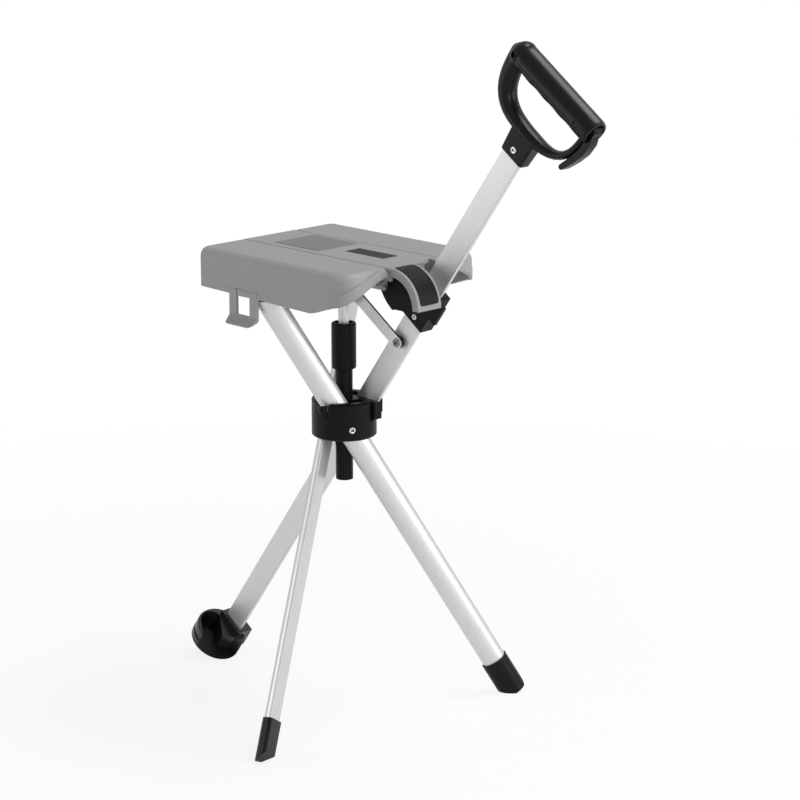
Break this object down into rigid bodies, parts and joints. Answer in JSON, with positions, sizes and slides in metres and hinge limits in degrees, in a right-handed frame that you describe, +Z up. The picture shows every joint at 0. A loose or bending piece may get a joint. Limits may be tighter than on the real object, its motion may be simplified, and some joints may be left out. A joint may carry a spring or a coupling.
{
  "type": "walking stick seat",
  "caption": "Folding walking stick seat: a D-handled stick on three splayed tubes with a hub, sliding centre rod and a hinged hard seat that closes round the stick.",
  "frame": {"origin": "on the floor under the hub's axis, with the seat open", "axes": "+Z up; +X along the seat's middle strip, the way the stick leans; +Y across the seat"},
  "size_m": [0.5577, 0.3442, 0.7161],
  "materials": {
    "aluminium": "satin anodised",
    "black_plastic": "matt moulded",
    "grey_plastic": "matt moulded",
    "rubber": "matt",
    "steel": "plain",
    "dark_panel": "semi-gloss"
  },
  "bodies": {
    "hub": {"hub_ring": "black_plastic", "shaft_hub_screw": "steel", "right_leg_hub_screw": "steel", "front_leg_hub_screw": "steel", "guide_tube": "black_plastic", "guide_collar": "black_plastic"},
    "stick": {"main_shaft_tube": "aluminium", "shaft_pivot_bush": "black_plastic", "seat_bracket": "black_plastic", "bracket_clamp": "black_plastic", "bracket_screw_lower": "steel", "bracket_screw_upper": "steel", "link_pivot_screw": "steel", "link_spacer": "steel", "handle_shell_near": "black_plastic", "handle_shell_far": "black_plastic", "handle_screw_left": "steel", "handle_screw_right": "steel", "socket_screw": "steel", "hook_pin": "steel", "cane_tip": "black_plastic", "cane_tip_pad": "rubber"},
    "hook": {"table_hook": "black_plastic"},
    "link": {"link_bar": "aluminium"},
    "rod": {"centre_rod": "aluminium", "rod_head": "black_plastic", "rod_head_pin": "steel"},
    "right_leg": {"right_leg_tube": "aluminium", "right_leg_bush": "black_plastic", "right_leg_boot": "rubber", "right_leg_cap": "black_plastic"},
    "front_leg": {"front_leg_tube": "aluminium", "front_leg_bush": "black_plastic", "front_leg_boot": "rubber", "front_leg_cap": "black_plastic"},
    "seat": {"seat_centre_panel": "grey_plastic", "centre_inlay": "dark_panel", "arch_inlay": "dark_panel", "near_hinge_rod": "steel", "far_hinge_rod": "steel"},
    "near_wing": {"near_wing": "grey_plastic"},
    "far_wing": {"far_wing": "grey_plastic"}
  },
  "joints": [
    {"name": "main_fold", "type": "hinge", "parent": "hub", "child": "stick", "pos_m": [0, 0.0189, 0.3075], "axis": [0, -1, 0], "range_deg": [0, 35.9]},
    {"name": "right_leg_fold", "type": "hinge", "parent": "hub", "child": "right_leg", "pos_m": [0.01653, -0.00916, 0.3075], "axis": [-0.8746, 0.4848, 0], "range_deg": [0, 30.7]},
    {"name": "front_leg_fold", "type": "hinge", "parent": "hub", "child": "front_leg", "pos_m": [-0.01713, -0.00799, 0.3075], "axis": [0.9063, 0.4226, 0], "range_deg": [0, 30.7]},
    {"name": "link_turn", "type": "hinge", "parent": "stick", "child": "link", "pos_m": [0.06872, 0, 0.40244], "axis": [0, 1, 0], "range_deg": [0, 92.8]},
    {"name": "rod_turn", "type": "hinge", "parent": "link", "child": "rod", "pos_m": [0, 0, 0.44951], "axis": [0, -1, 0], "range_deg": [0, 56.9]},
    {"name": "seat_turn", "type": "hinge", "parent": "rod", "child": "seat", "pos_m": [0, 0, 0.44951], "axis": [0, -1, 0], "range_deg": [0, 90]},
    {"name": "near_wing_fold", "type": "hinge", "parent": "seat", "child": "near_wing", "pos_m": [0, -0.0366, 0.47159], "axis": [1, 0, 0], "range_deg": [0, 74]},
    {"name": "far_wing_fold", "type": "hinge", "parent": "seat", "child": "far_wing", "pos_m": [0, 0.0366, 0.47159], "axis": [-1, 0, 0], "range_deg": [0, 74]},
    {"name": "hook_turn", "type": "hinge", "parent": "stick", "child": "hook", "pos_m": [0.3146, 0.0189, 0.64233], "axis": [0, -1, 0], "range_deg": [0, 70]}
  ],
  "couplings": [
    {"joint": "right_leg_fold", "follows": "main_fold", "ratio": 0.85515},
    {"joint": "front_leg_fold", "follows": "main_fold", "ratio": 0.85515},
    {"joint": "link_turn", "follows": "main_fold", "ratio": 2.585},
    {"joint": "rod_turn", "follows": "main_fold", "ratio": 1.585},
    {"joint": "seat_turn", "follows": "main_fold", "ratio": 2.507},
    {"joint": "near_wing_fold", "follows": "main_fold", "ratio": 2.0613},
    {"joint": "far_wing_fold", "follows": "main_fold", "ratio": 2.0613}
  ]
}
